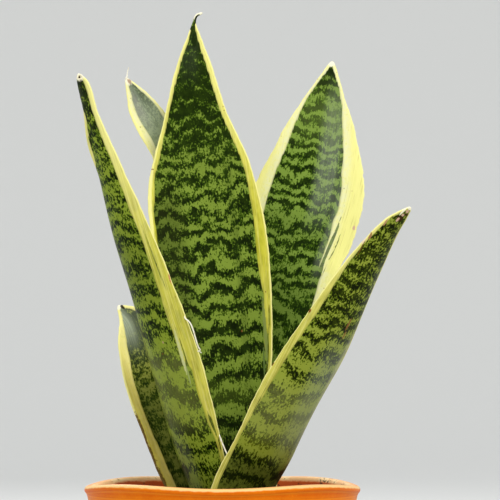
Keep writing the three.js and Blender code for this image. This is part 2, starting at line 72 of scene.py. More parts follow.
# All in mm, at distances from the leaf's foot along its middle; a side is -1 or 1, as across in Blade.
# piece: name of the fine mesh. thick: thickness at the foot and at the tip. wave: height, length and
# phase of the wave in the edges.
# stations: middle of the back at x, y, z, width along the curve, half the angle it curls through, and
# the way the hollow face looks, in degrees from -Y toward +X.
# margin_minus, margin_plus: [distance, width] of the yellow edge on side -1 and on side 1.
# lines: thin green lines in a margin, each a side and [distance, how far in from the edge, half width].
# bands: where the dark cross bands lie.
# ragged: how far the edge strays where it isn't the usual RAGGED. trim: a side and [distance, how far its
# edge is set in, or out where negative]. crinkle: a finely waved stretch of an edge, as side, start, end,
# height. flare: an edge that turns back, as side, start, peak, end, height.
LEAVES = {
    "leaf_centre_tall": {
        "piece": "centre_tall_blade", "thick": (5, 2.6), "wave": (0.5, 62, 0.4),
        "stations": [
            [4, 5, LEAF_FOOT, 20, 55, 0],
            [3.5, 6.5, 113, 25, 50, 0],
            [1, 11, 150, 42, 38, 0],
            [-0.5, 16, 187, 54, 30, 0],
            [-3, 20, 220, 59, 25, 0],
            [-6.5, 23, 250, 60, 21, 0],
            [-11, 25, 285, 53, 18, 0],
            [-14, 26, 315, 33.5, 16, 0],
            [-15, 26, 342, 18, 16, 0],
            [-15, 26, 355, 8.5, 20, 0],
            [-15, 26, 363, 2.2, 20, 0],
            [-13.8, 26, 367, 1.4, 20, 0],
            [-10.6, 26, 368.6, 1, 20, 0],
        ],
        "trim": [
            -1, [158, 0], [166, -1.3], [179, -1.5], [192, -1.7], [198, -1.5], [204, -1.1], [211, -0.5],
            [221, 0],
        ],
        "margin_minus": [
            [0, 4], [140, 3.9], [152, 3.6], [160, 2.7], [166, 1.9], [173, 1.8], [179, 1.3], [186, 1.1],
            [192, 1.9], [198, 1.8], [204, 1.6], [210, 2.5], [230, 1.9], [255, 1.7], [270, 1.4],
            [276, 0.6], [278, -0.7],
        ],
        "margin_plus": [
            [0, 2.6], [102, 2.2], [107, 3.4], [112, 4], [135, 4], [141, 4.9], [147, 5.7], [152, 6.3],
            [160, 6], [176, 5.2], [193, 4.1], [208, 3.5], [235, 3], [255, 2.6], [266, 2.5], [272, 2],
            [277, 1.1], [279.5, 0.5], [281, -0.7],
        ],
        "lines": [
            [1, [60, 2.9, 1.4], [99, 2.5, 1.25], [105, 2.4, 1], [110, 2.3, 0.8], [115, 2.2, 0.55],
             [120, 1.65, 0.45], [125, 1.5, 0.4], [130, 1.2, 0.22], [135, 1.1, 0.15], [150, 1, 0.1],
             [160, 0.9, 0]],
            [1, [136, 4.2, 0], [141, 4.1, 0.15], [148, 3.9, 0.1], [153, 3.9, 0]],
        ],
        "bands": [
            57, 69, 81, 95, 106, 118, 132, 142, 151, 162, 172, 181, 190, 199, 208, 217, 226, 234, 242,
            249, 256, 262, 268,
        ],
    },
    "leaf_left_long": {
        "piece": "left_long_blade", "thick": (5, 2.4), "wave": (0.4, 70, 1.5),
        "stations": [
            [-7.5, -5, LEAF_FOOT, 26, 60, 135],
            [-9, -7, 113, 32, 60, 135],
            [-20, -13, 150, 41, 52, 135],
            [-29.5, -20, 187, 42, 48, 135],
            [-39.3, -28, 220, 37, 47, 135],
            [-49.5, -35, 253, 30, 46, 135],
            [-58.5, -41, 285, 19, 38, 135],
            [-65.5, -45, 310, 10.5, 28, 135],
            [-69.3, -47, 325, 8.3, 25, 135],
            [-71.2, -48, 330, 2, 20, 135],
        ],
        "margin_minus": [
            [0, 3], [52, 2.6], [62, 2.6], [73.5, 4.8], [79.5, 5.1], [85, 5.8], [101.5, 6.1], [104, 8.6],
            [107, 9.4], [112, 9.7], [117, 9.5], [123, 9.1], [133, 8.9], [143, 8.1], [164, 6.6],
            [190, 5.4], [205, 4.4], [215, 3.7], [225, 3.3], [236, 2.6], [250, 2.2], [256, 1.6],
        ],
        "margin_plus": [
            [0, 3.5], [120, 3.2], [170, 1.2], [196, 0.8], [206, 0.4], [209, 0.4], [212, 2.3], [216, 2.4],
            [219, 1.9], [225, 1.5], [229, 1.7], [235, 2], [238, 1.5], [241, 0.2], [243, -0.5],
        ],
        "lines": [
            [-1, [98, 7.4, 0.9], [103, 7.6, 0.95], [106, 7.5, 0.5], [111.5, 7.3, 0.32], [117, 7, 0.22],
             [121, 6.9, 0.15], [125, 6.9, 0]],
            [-1, [56, 1.2, 0.3], [62, 1.3, 0.35], [73.5, 2.9, 0.8], [77, 3.2, 0.35], [80, 3.4, 0]],
            [-1, [136, 4.6, 0.1], [145, 4.4, 0.35], [165, 3.9, 0.4], [178, 3.6, 0.25], [184, 3.4, 0]],
        ],
        "bands": [
            36, 48, 61, 76, 89, 104, 121, 132, 147, 157, 168, 178, 187, 195, 205, 214, 222, 230, 238, 246,
        ],
        "flare": (1, 203, 222, 243, 1.7),
    },
    "leaf_back_left": {
        "piece": "back_left_blade", "thick": (3.6, 1.8),
        "trim": [
            -1, [190, 0], [204, 1.2], [211, 1.9], [215, 1.4], [219, 0.1], [224, -0.9], [232, -1.3],
            [240, -0.8], [249, 0],
        ],
        "wave": (0.4, 55, 2.2),
        "stations": [
            [-4, 24, LEAF_FOOT, 17, 50, 5],
            [-5, 27, 113, 20, 50, 5],
            [-8, 31, 160, 26, 40, 5],
            [-13, 35, 210, 30, 32, 5],
            [-20, 38, 260, 27, 28, 5],
            [-30.5, 40, 300, 19, 25, 5],
            [-43, 42, 322, 14.5, 25, 5],
            [-51, 42, 336, 2, 20, 5],
        ],
        "margin_minus": [[0, 3.5], [180, 4.5], [222, 4.2], [232, 3.2], [250, 2.6], [257, 1.6]],
        "margin_plus": [[0, 3], [180, 3.4], [230, 2], [240, 1.3], [250, 1.3], [257, 0.8]],
        "bands": [
            40, 52, 64, 76, 88, 99, 110, 121, 132, 142, 152, 162, 171, 180, 189, 198, 207, 215, 223, 231,
            239, 246, 252,
        ],
    },
    "leaf_back_right": {
        "piece": "back_right_blade", "thick": (4.6, 2.4), "ragged": 0.5,
        "trim": [1, [100, 0], [130, 2], [154, 2.1], [163, 1.2], [171, 0.6], [190, 0]],
        "crinkle": (1, 176, 216, 0.3), "wave": (0.7, 48, 0.9),
        "stations": [
            [12, 15, LEAF_FOOT, 26, 50, -10],
            [14, 18, 113, 30, 50, -10],
            [18, 24, 155, 39, 38, -10],
            [26, 31, 200, 50, 28, -10],
            [35, 37, 240, 58.5, 24, -10],
            [46, 42, 275, 59, 20, -10],
            [51, 46, 305, 41, 18, -10],
            [54.5, 48, 328, 20, 18, -10],
            [57.5, 49, 345.5, 2, 20, -10],
        ],
        "margin_minus": [
            [0, 4], [120, 8], [180, 8.9], [194, 8], [205, 7], [218, 6.1], [228, 4.6], [239, 2.6],
            [247, 1.6], [256, 1.6], [264, 1.8],
        ],
        "margin_plus": [
            [0, 4], [110, 8.4], [144, 9.2], [151, 9.5], [155, 9.3], [157, 12], [161, 12.5], [163, 12.6],
            [168.5, 12.9], [174.5, 13], [180, 13.5], [185, 14], [190, 13], [195, 12.9], [200, 12.4],
            [208, 12], [213, 10.3], [219, 9.1], [234, 5.9], [245, 2.7], [254, 1.4], [264, 1.6],
        ],
        "lines": [
            [1, [155, 10.8, 1.3], [160, 11, 1], [163, 11.2, 0.9], [168.5, 11.1, 0.9], [174.5, 11, 0.95],
             [179.7, 10.8, 0.8], [184, 10.4, 0.5], [187, 10.2, 0.35], [191, 10, 0.25], [194, 9.9, 0]],
            [1, [152, 9.2, 0], [157, 9, 0.4], [163, 8.9, 0.45], [168.5, 8.2, 0.48], [174.5, 7.9, 0.46],
             [178, 7.8, 0.3], [181, 7.8, 0]],
        ],
        "bands": [
            41, 53, 66, 78, 90, 102, 114, 125, 135, 144, 152, 162, 169, 177, 186, 192, 198, 208, 214, 220,
            227, 234, 241, 248, 254,
        ],
    },
    "leaf_front_right": {
        "piece": "front_right_blade", "thick": (5, 2.4), "wave": (0.5, 66, 2.8),
        "trim": [1, [94, 0], [106, 0.9], [115, 1.3], [125, 0.9], [135, 0.4], [142, 0]],
        "stations": [
            [11, -13, LEAF_FOOT, 40, 56, -140],
            [13, -15, 113, 45, 56, -140],
            [28.2, -22, 145, 46, 54, -140],
            [45.5, -32, 180, 46.5, 50, -140],
            [62.2, -41, 212, 36, 48, -140],
            [75.2, -48, 238, 24, 44, -140],
            [84.6, -53, 254, 13, 36, -140],
            [93, -56, 263.5, 2, 20, -140],
        ],
        "margin_minus": [[0, 3], [150, 3], [180, 2], [200, 1]],
        "margin_plus": [
            [0, 3], [34, 3.1], [50, 2.5], [63, 1.9], [78, 3], [92, 4.4], [108, 5], [118, 4.9], [128, 4.3],
            [138, 4.2], [150, 3.1], [160, 2.2], [172, 1.7], [179, 1.5], [184, 1.9], [191, 1.4],
            [196, 0.9], [202, 1.1],
        ],
        "lines": [[1, [60, 2.2, 0], [74, 2.6, 0.25], [92, 3.4, 0.25], [104, 3.8, 0]]],
        "bands": [30, 42, 53, 67, 80, 93, 106, 118, 126, 134, 142, 150, 158, 166, 174, 181, 188, 194],
    },
    "leaf_left_short": {
        "piece": "left_short_blade", "thick": (4.2, 2.2), "wave": (0.4, 50, 1.1),
        "stations": [
            [-13, 12, LEAF_FOOT, 21, 62, 5],
            [-15, 15, 113, 26, 65, 5],
            [-23.5, 16, 140, 31, 60, 5],
            [-34.5, 17, 170, 33, 50, 10],
            [-42, 18, 195, 28, 42, 10],
            [-47, 18, 209, 17, 38, 10],
            [-54, 18, 216.5, 2, 30, 10],
        ],
        "margin_minus": [
            [0, 5.5], [42, 6.2], [60, 6.4], [72, 5.8], [92, 5.7], [100, 5.4], [112, 5.9], [122, 4.5],
            [127, 3.5], [132, 2], [138, 1.8],
        ],
        "margin_plus": [[0, 4], [90, 4], [118, 3], [130, 2], [138, 1.6]],
        "bands": [35, 48, 62, 77, 90, 101, 109, 117, 125, 132],
    },
}


def hermite(t, a, b, u, v):
    """The smooth way from a to b as t goes from 0 to 1, with slopes u and v at its ends."""
    leave, arrive = (t**3 - 2 * t**2 + t) * u, (t**3 - t**2) * v
    return (2 * t**3 - 3 * t**2 + 1) * a + leave + (3 * t**2 - 2 * t**3) * b + arrive


def smooth(share):
    """0 to 1 with a soft start and end."""
    return share**2 * (3 - 2 * share)


class Walk:
    """Values between the stations, by Hermite curves over the distance walked from foot to tip."""

    def __init__(self, stations):
        self.stations = np.array(stations, float)
        steps = np.linalg.norm(np.diff(self.stations[:, :3], axis=0), axis=1)
        self.marks = np.r_[0, np.cumsum(steps)]
        self.length = self.marks[-1]
        last = len(stations) - 1
        self.slopes = np.empty_like(self.stations)
        for i in range(len(stations)):
            before, after = max(i - 1, 0), min(i + 1, last)
            rise = self.stations[after] - self.stations[before]
            self.slopes[i] = rise / (self.marks[after] - self.marks[before])
        self.slopes[0, :3] = (0, 0, 1)

    def sample(self, distance):
        i = np.clip(np.searchsorted(self.marks, distance, side="left") - 1, 0, len(self.marks) - 2)
        span = (self.marks[i + 1] - self.marks[i])[:, None]
        t = (distance - self.marks[i])[:, None] / span
        a, b = self.stations[i], self.stations[i + 1]
        u, v = self.slopes[i], self.slopes[i + 1]
        value = hermite(t, a, b, span * u, span * v)
        rate = (6 * t**2 - 6 * t) * (a - b) / span + (3 * t**2 - 4 * t + 1) * u + (3 * t**2 - 2 * t) * v
        along = rate[:, :3] / np.linalg.norm(rate[:, :3], axis=1)[:, None]
        return value[:, :3], along, value[:, 3], np.radians(value[:, 4]), np.radians(value[:, 5])


def unit(v):
    return v / np.linalg.norm(v, axis=-1, keepdims=True)


class Blade:
    """The leaf's surface. across is -1 to 1 from edge to edge, face 0 is the back and 1 the hollow face."""

    def __init__(self, leaf, distance):
        walk = Walk(leaf["stations"])
        self.middle, self.along, self.width, self.curl, facing = walk.sample(distance)
        ahead = np.stack([np.sin(facing), -np.cos(facing), 0 * facing], axis=1)
        self.hollow = unit(ahead - (ahead * self.along).sum(1, keepdims=True) * self.along)
        self.side = np.cross(self.along, self.hollow)
        share = distance / walk.length
        first, last = leaf["thick"]
        fullest = first + (last - first) * share
        self.thickest = np.minimum(fullest, THIN_BASE + THIN_BY_WIDTH * self.width)
        height, length, phase = leaf["wave"]
        swell = height * np.sin(np.pi * share) ** 2
        self.swing = swell * np.sin(2 * np.pi * distance / length + phase)

    def thickness(self, across):
        return LEAF_EDGE + (self.thickest[:, None] - LEAF_EDGE) * (1 - across**2)

    def place(self, across, thickness, face):
        """Points for across, an array of rows by columns, with the local outward direction."""
        angle = (across * self.curl[:, None])[..., None]
        bend = (self.width / 2 / self.curl)[:, None, None]
        side, hollow = self.side[:, None], self.hollow[:, None]
        out = hollow * np.cos(angle) - side * np.sin(angle)
        tangent = side * np.cos(angle) + hollow * np.sin(angle)
        lift = face * thickness + self.swing[:, None] * across**3
        at = self.middle[:, None] + side * bend * np.sin(angle) + hollow * bend * (1 - np.cos(angle))
        return at + out * lift[..., None], out, tangent


# Meshes


def new_object(name, positions, faces, rounded=True):
    mesh = bpy.data.meshes.new(name)
    mesh.from_pydata([tuple(p) for p in np.asarray(positions) * MM], [], faces)
    mesh.update()
    if rounded:
        mesh.polygons.foreach_set("use_smooth", [True] * len(mesh.polygons))
    made = bpy.data.objects.new(name, mesh)
    bpy.context.scene.collection.objects.link(made)
    return made


def add_attribute(piece, name, values):
    attribute = piece.data.attributes.new(name, "FLOAT", "POINT")
    attribute.data.foreach_set("value", np.asarray(values, np.float32).ravel())


def grid_faces(rows, size):
    """Quads between closed loops that each have size points."""
    faces = []
    for row in range(rows - 1):
        for column in range(size):
            after = (column + 1) % size
            a, b = row * size + column, row * size + after
            faces.append((a, b, b + size, a + size))
    return faces


def closed_object(name, loops, ends):
    """A mesh from rows of closed loops, with a fan of triangles around each of its two end points."""
    rows, sides = loops.shape[:2]
    faces = grid_faces(rows, sides)
    count, last = rows * sides, (rows - 1) * sides
    for k in range(sides):
        after = (k + 1) % sides
        faces += [(count, after, k), (count + 1, last + k, last + after)]
    return new_object(name, np.concatenate([loops.reshape(-1, 3), ends]), faces)


WOBBLE_STRETCH = (0.8, 1.25)
ANY_TURN = (0, 6.3)


def wobble(distance, seed, lengths, height):
    """A smooth, seeded, irregular wave along a leaf, made of waves of about the lengths given in mm."""
    rng = random.Random(seed)
    total = np.zeros_like(distance)
    for length in lengths:
        true_length = length * rng.uniform(*WOBBLE_STRETCH)
        total += math.sqrt(length) * np.sin(2 * np.pi * distance / true_length + rng.uniform(*ANY_TURN))
    return height * total / sum(math.sqrt(length) for length in lengths)


# Fine mesh of a leaf, in rows along it and strips across it, crowded toward its edges
BLADE_ROWS = 230
BLADE_STRIPS = 42
STRIP_CROWDING = 1.15
EDGE_STEPS = 4
TIP_ROUND = 1.6
THINNEST_TAPER = 0.01
TIP_EDGE_SHARE = 1.1
MOST_INSET = 0.9
# Waves in mm that make up a ragged and a crinkled edge; both fade out where the leaf is narrow
RAGGED = 0.35
RAGGED_WAVES = (34, 17, 9, 5, 3)
RAGGED_HALF_WIDTH = 4
CRINKLE_WAVES = (5.5, 3.6)
CRINKLE_FADE = 8
FLARE_POWER = 5
# Bands carried on evenly before the first and after the last; lines in the margins, and no line
BANDS_BEYOND = 8
LINES = 3
FAR_FROM_LINE = 9.0


def at_stations(table, distance, column=1):
    table = np.array(table, float)
    return np.interp(distance, table[:, 0], table[:, column])


def blade_object(node, leaf, seed):
    """A leaf as a closed mesh with rounded edges and a pointed tip, and the marks that its colours need."""
    step = np.linspace(0, 1, BLADE_ROWS)
    length = Walk(leaf["stations"]).length
    distance = length * (1 - (1 - step) ** ROWS_TO_TIP)
    blade = Blade(leaf, distance)
    half = blade.width / 2
    into_tip = np.clip((distance - (length - TIP_ROUND)) / TIP_ROUND, 0, 1)
    taper = np.sqrt(np.clip(1 - into_tip**2, THINNEST_TAPER, 1))
    fade = np.clip(half / RAGGED_HALF_WIDTH, 0, 1)
    stray = leaf.get("ragged", RAGGED)
    ragged = {side: fade * wobble(distance, seed + side, RAGGED_WAVES, stray) for side in (-1, 1)}
    if "trim" in leaf:
        side, *table = leaf["trim"]
        ragged[side] = ragged[side] - at_stations(table, distance)
    if "crinkle" in leaf:
        side, start, end, height = leaf["crinkle"]
        stretch = [start - CRINKLE_FADE, start, end, end + CRINKLE_FADE]
        within = np.interp(distance, stretch, [0, 1, 1, 0])
        ragged[side] = ragged[side] + within * wobble(distance, seed + 7, CRINKLE_WAVES, height)
    edge_thick = np.minimum(LEAF_EDGE, TIP_EDGE_SHARE * half) * taper
    inset = np.minimum(edge_thick / 2 / half, MOST_INSET)
    reach = {side: (1 - inset + ragged[side] / half) * taper for side in (-1, 1)}

    def spread(u):
        """Columns from -1 to 1 as across, which stays within both edges."""
        return np.where(u < 0, u * reach[-1][:, None], u * reach[1][:, None])

    columns = np.linspace(-1, 1, BLADE_STRIPS + 1)
    columns = np.sign(columns) * (1 - (1 - np.abs(columns)) ** STRIP_CROWDING)
    u = np.tile(columns, (BLADE_ROWS, 1))
    across = spread(u)
    thick = blade.thickness(across) * taper[:, None]
    back, out, _ = blade.place(across, thick, 0)
    front, _, _ = blade.place(across, thick, 1)
    # the blade narrows evenly about its middle at the tip
    slim = (blade.thickness(across) - thick)[..., None] / 2
    back = back + out * slim
    front = front + out * slim

    if "flare" in leaf:
        side, start, peak, end, height = leaf["flare"]
        rise = smooth(np.interp(distance, [start, peak, end], [0, 1, 0]))
        turn = height * rise[:, None] * np.clip(side * u, 0, 1) ** FLARE_POWER
        back = back - out * turn[..., None]
        front = front - out * turn[..., None]

    def arc(side):
        """The half round between back and front along one edge."""
        column = -1 if side > 0 else 0
        foot, head = back[:, column], front[:, column]
        _, outward, tangent = blade.place(across[:, [column]], thick[:, [column]], 0)
        centre, radius = (foot + head) / 2, np.linalg.norm(head - foot, axis=1)[:, None] / 2
        points = []
        for k in range(1, EDGE_STEPS):
            angle = math.pi * k / EDGE_STEPS
            backward = radius * outward[:, 0] * math.cos(angle)
            sideways = side * radius * tangent[:, 0] * math.sin(angle)
            points.append(centre - backward + sideways)
        return np.stack(points, axis=1)

    loops = np.concatenate([back[:, ::-1], arc(-1), front, arc(1)[:, ::-1]], axis=1)
    size = loops.shape[1]
    edge_columns = np.ones((BLADE_ROWS, EDGE_STEPS - 1))
    along_u = np.concatenate([across[:, ::-1], -edge_columns, across, edge_columns], axis=1)
    along_u = np.clip(along_u, -1, 1)
    piece = closed_object(leaf["piece"], loops, loops[[0, -1]].mean(axis=1))

    def mark(name, values):
        """Values of each point, and of the two end points as the mean of their loop."""
        add_attribute(piece, name, np.r_[values.ravel(), values[0].mean(), values[-1].mean()])

    across_mm = along_u * half[:, None]
    far = np.repeat(distance[:, None], size, axis=1)
    mark("across", across_mm)
    mark("along", far)
    mark("share", far / length)
    bands = leaf["bands"]
    before = bands[0] - BANDS_BEYOND * (bands[1] - bands[0])
    beyond = bands[-1] + BANDS_BEYOND * (bands[-1] - bands[-2])
    turns = np.r_[-BANDS_BEYOND, np.arange(len(bands)), len(bands) - 1 + BANDS_BEYOND]
    mark("phase", np.interp(far, np.r_[before, bands, beyond], turns))
    from_edge = {-1: (1 + along_u) * half[:, None], 1: (1 - along_u) * half[:, None]}
    mark("edge", np.minimum(from_edge[-1], from_edge[1]))
    for side, name in ((-1, "minus"), (1, "plus")):
        mark("rim_" + name, from_edge[side] - at_stations(leaf["margin_" + name], distance)[:, None])
    lines = leaf.get("lines", [])
    for k in range(LINES):
        values = np.full_like(across_mm, FAR_FROM_LINE)
        if k < len(lines):
            side, *table = lines[k]
            centre = at_stations(table, distance)[:, None]
            width = at_stations(table, distance, 2)
            width = np.where((distance < table[0][0]) | (distance > table[-1][0]), 0, width)[:, None]
            values = np.abs(from_edge[side] - centre) - width
        mark(f"line_{k}", values)
    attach(piece, "root")
    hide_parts(node)
    return piece


# Shader nodes


def linear(red, green, blue):
    """A colour given as on screen, 0 to 255, in the renderer's linear values."""
    parts = [v / 255 for v in (red, green, blue)]
    return tuple(v / 12.92 if v <= 0.04045 else ((v + 0.055) / 1.055) ** 2.4 for v in parts) + (1,)


class Value:
    """What a shader node gives, with sums and products that add a node each."""

    def __init__(self, nodes, socket):
        self.nodes = nodes
        self.socket = socket

    def __add__(self, other):
        return self.nodes.maths("ADD", self, other)

    def __sub__(self, other):
        return self.nodes.maths("SUBTRACT", self, other)

    def __mul__(self, other):
        return self.nodes.maths("MULTIPLY", self, other)

    def __truediv__(self, number):
        return self * (1 / number)


class Nodes:
    """A material, with its nodes written as function calls."""

    def __init__(self, name):
        self.material = bpy.data.materials.new(name)
        self.material.use_nodes = True
        self.tree = self.material.node_tree
        self.shader = self.tree.nodes["Principled BSDF"]

    def add(self, kind, inputs=(), output=0, **settings):
        node = self.tree.nodes.new(kind)
        for key, value in settings.items():
            setattr(node, key, value)
        for key, value in dict(inputs).items():
            self.feed(node.inputs[key], value)
        return Value(self, node.outputs[output])

    def feed(self, socket, value):
        if isinstance(value, Value):
            self.tree.links.new(value.socket, socket)
        else:
            socket.default_value = value

    def set(self, **inputs):
        for key, value in inputs.items():
            self.feed(self.shader.inputs[key.replace("_", " ")], value)

    def attribute(self, name):
        return self.add("ShaderNodeAttribute", output="Fac", attribute_name=name)

    def maths(self, operation, a, b=0.0):
        return self.add("ShaderNodeMath", {0: a, 1: b}, operation=operation)

    def vector(self, x, y, z):
        return self.add("ShaderNodeCombineXYZ", {0: x, 1: y, 2: z})

    def object_place(self):
        return self.add("ShaderNodeTexCoord", output="Object")

    def place_mm(self):
        return self.scaled(self.object_place(), (1 / MM,) * 3)

    def scaled(self, vector, by):
        return self.add("ShaderNodeVectorMath", {0: vector, 1: by}, operation="MULTIPLY")

    def split(self, vector):
        node = self.tree.nodes.new("ShaderNodeSeparateXYZ")
        self.feed(node.inputs[0], vector)
        return [Value(self, socket) for socket in node.outputs]

    def length(self, vector):
        return self.add("ShaderNodeVectorMath", {0: vector}, output="Value", operation="LENGTH")

    def noise(self, vector, scale=1.0, detail=2.0, rough=0.5):
        inputs = {"Vector": vector, "Scale": scale, "Detail": detail, "Roughness": rough}
        return self.add("ShaderNodeTexNoise", inputs)

    def cells(self, vector, scale=1.0, output="Distance"):
        return self.add("ShaderNodeTexVoronoi", {"Vector": vector, "Scale": scale}, output=output)

    def step(self, value, low, high, bottom=0.0, top=1.0):
        """From bottom to top, softly, as the value goes from low to high."""
        inputs = {"Value": value, "From Min": low, "From Max": high, "To Min": bottom, "To Max": top}
        return self.add("ShaderNodeMapRange", inputs, interpolation_type="SMOOTHSTEP")

    def blend(self, share, a, b):
        """Colour a, with the share of colour b laid over it."""
        node = self.tree.nodes.new("ShaderNodeMix")
        node.data_type = "RGBA"
        self.feed(node.inputs[0], share)
        self.feed(node.inputs[6], a)
        self.feed(node.inputs[7], b)
        return Value(self, node.outputs[2])

    def bump(self, height, strength, distance_mm, under=None):
        inputs = {"Height": height, "Strength": strength, "Distance": distance_mm * MM}
        if under is not None:
            inputs["Normal"] = under
        return self.add("ShaderNodeBump", inputs)

    def finish(self, colour, roughness, relief, shine=0.25, **others):
        self.set(Base_Color=colour, Roughness=roughness, Normal=relief, Specular_IOR_Level=shine, **others)
        return self.material


# Leaf colours, all as they look on screen

CREAM = linear(250, 243, 158)
# painted sheen: the grey of the sky's reflection, laid on the leaves' faces as colour
SKY_REFLECTION = linear(160, 170, 146)
BROWN = linear(120, 62, 28)
RUST = linear(150, 84, 50)
DARK_SPOT = linear(58, 34, 18)
PINK_SCAR = linear(214, 176, 148)
TIP_CREAM = linear(250, 244, 214)
UNDER_GREEN = linear(20, 34, 8)
OLD_EDGE = linear(104, 78, 34)
STREAK = linear(150, 126, 46)
MOTTLE = linear(196, 206, 130)
SPLASH = linear(66, 50, 30)
SHEEN = linear(214, 224, 200)
LINE_GREEN = (66, 84, 16)

# seed: shifts all the noise. balance: lean of the pattern toward light green. clear: strength of the
# bands. vee and bent: half the length of a zigzag in mm, and its strength toward the tip.
# dark, middle, light: the three greens. margin and deep: the edge's yellow and that of its olive patches,
# whose share is olive. line: green of the lines in a margin, where it isn't LINE_GREEN. cream: share of
# cream streaks in the edge. dusk: share of the length from and to which the green darkens, and how much.
# fading: what is left of the bands' strength at the tip. grain: width and length of the clumps in mm.
# clumps, specks: strength of both. paler: share of cream in the edge at the tip. inner: colour and share
# of a mottled strip along the inner side of the edge.
# The last two lists hold patches: first a painted sheen, the grey of the sky's reflection, then patches of
# another colour, some of them painted shade and one a painted sheen. Each is its middle in mm across, its
# reach, its start and end along the leaf, its softness where it isn't the usual one, and its share; each of
# the second list ends with its colour.
LOOKS = {
    "leaf_centre_tall": {
        "seed": 3.1, "balance": 0.02, "clear": 1.0, "vee": 9.5, "bent": 1, "dark": (8, 22, 1),
        "middle": (61, 86, 14), "light": (128, 150, 56), "margin": (206, 200, 52), "deep": (174, 170, 22),
        "olive": 0.8, "cream": 0.06, "dusk": (0.69, 0.85, -0.8), "paler": 0.6,
        "sky_sheen": [(-3, 8, 257, 268, 0.08)],
        "tints_and_shade": [
            (0, 40, 198, 300, 0.26, (40, 60, 10)),
            (0, 40, 166, 186, 0.14, (30, 46, 8)),
            # painted shade on the left, where the long left leaf stands in front
            (-23, 15, 80, 196, 0.62, (30, 36, 8)),
            (14, 3, 90, 210, 0.35, (30, 50, 8)),
            # painted shade low down, near the soil
            (0, 70, -20, 74, 6, 0.3, (20, 34, 5)),
            (4, 30, 81, 92, 5, 0.3, (104, 124, 40)),
        ],
    },
    "leaf_left_long": {
        "seed": 11.7, "balance": 0.12, "clear": 0.9, "vee": 9, "bent": 0.7, "dark": (5, 16, 0),
        "middle": (70, 92, 14), "light": (132, 150, 46), "margin": (188, 184, 36), "deep": (152, 152, 18),
        "olive": 0.8, "cream": 0.14, "dusk": (0.84, 0.97, -0.9), "grain": (2, 2.3), "clumps": 2.8,
        "specks": 5.2,
        "sky_sheen": [(4, 9, 20, 66, 0.16)],
        "tints_and_shade": [
            (2, 30, 72, 112, 8, 0.36, (148, 158, 78)),
            # painted shade at the foot
            (0, 60, -20, 40, 0.66, (20, 28, 3)),
            (0, 40, 136, 174, 0.3, (26, 40, 4)),
            (0, 9, 240, 252, 5, 0.45, (26, 40, 8)),
        ],
    },
    "leaf_back_left": {
        "seed": 23.4, "balance": 0.3, "clear": 0.6, "vee": 7, "bent": 0.8, "dark": (44, 58, 34),
        "middle": (92, 108, 70), "light": (152, 164, 122), "margin": (228, 224, 140),
        "deep": (190, 190, 96), "olive": 0.5, "cream": 0.4, "dusk": (0.86, 0.98, -0.6),
        "grain": (1.5, 1.9), "inner": ((236, 234, 196), 0.5),
        "sky_sheen": [(-3, 9, 232, 275, 0.4), (0, 14, 190, 246, 0.55)],
        "tints_and_shade": [
            (-3, 4, 236, 254, 0.4, (158, 148, 150)),
            (4, 4, 246, 262, 0.6, (24, 40, 14)),
            (0, 14, 196, 226, 0.45, (172, 186, 130)),
        ],
    },
    "leaf_back_right": {
        "seed": 31.9, "balance": 0.02, "clear": 0.74, "vee": 8, "bent": 0.8, "dark": (10, 28, 1),
        "middle": (62, 90, 14), "light": (122, 148, 60), "margin": (238, 236, 136),
        "deep": (214, 212, 116), "line": (76, 100, 50), "olive": 0.45, "cream": 0.45,
        "dusk": (0.92, 0.99, -0.9), "fading": 1.1, "paler": 0.45, "inner": ((232, 234, 200), 0.45),
        "sky_sheen": [(7, 9, 185, 250, 0.34), (17.5, 5.5, 156, 206, 0.3)],
        "tints_and_shade": [
            (0, 9, 256, 272, 0.7, (16, 28, 8)),
            (-6, 60, 60, 152, 0.36, (26, 50, 4)),
            (0, 40, 168, 182, 6, 0.22, (26, 50, 4)),
            (2, 30, 226, 250, 0.3, (126, 148, 72)),
        ],
    },
    "leaf_front_right": {
        "seed": 47.2, "balance": 0.2, "clear": 0.95, "vee": 9, "bent": 0.6, "dark": (12, 20, 0),
        "middle": (84, 101, 16), "light": (143, 156, 56), "margin": (196, 191, 74),
        "deep": (156, 152, 36), "line": (84, 92, 24), "olive": 0.75, "cream": 0.12,
        "dusk": (0.56, 0.72, -0.5), "grain": (1.5, 2.0), "clumps": 2.3, "specks": 6, "paler": 0.35,
        "sky_sheen": [(-8, 14, 62, 122, 0.3)],
        "tints_and_shade": [
            # painted sheen along the far side, where the leaf turns away
            (-18, 6, 64, 132, 0.6, (196, 196, 146)),
            (6, 34, 57, 65, 5, 0.4, (128, 136, 34)),
            # painted shade at the foot
            (0, 70, -20, 55, 5, 0.85, (16, 24, 2)),
            (2, 34, 66, 96, 6, 0.4, (150, 158, 86)),
        ],
    },
    "leaf_left_short": {
        "seed": 59.8, "balance": 0.2, "clear": 0.5, "vee": 7, "bent": 0.7, "dark": (18, 32, 1),
        "middle": (76, 88, 22), "light": (134, 140, 60), "margin": (236, 216, 76), "deep": (206, 184, 44),
        "olive": 0.6, "cream": 0.1, "inner": ((226, 222, 188), 0.15),
        "sky_sheen": [(-5, 6.5, 120, 150, 9, 0.85), (0, 20, 114, 150, 0.25)],
        # painted shade on the lower part, behind the long left leaf
        "tints_and_shade": [(0, 40, -20, 98, 0.75, (26, 44, 4))],
    },
}

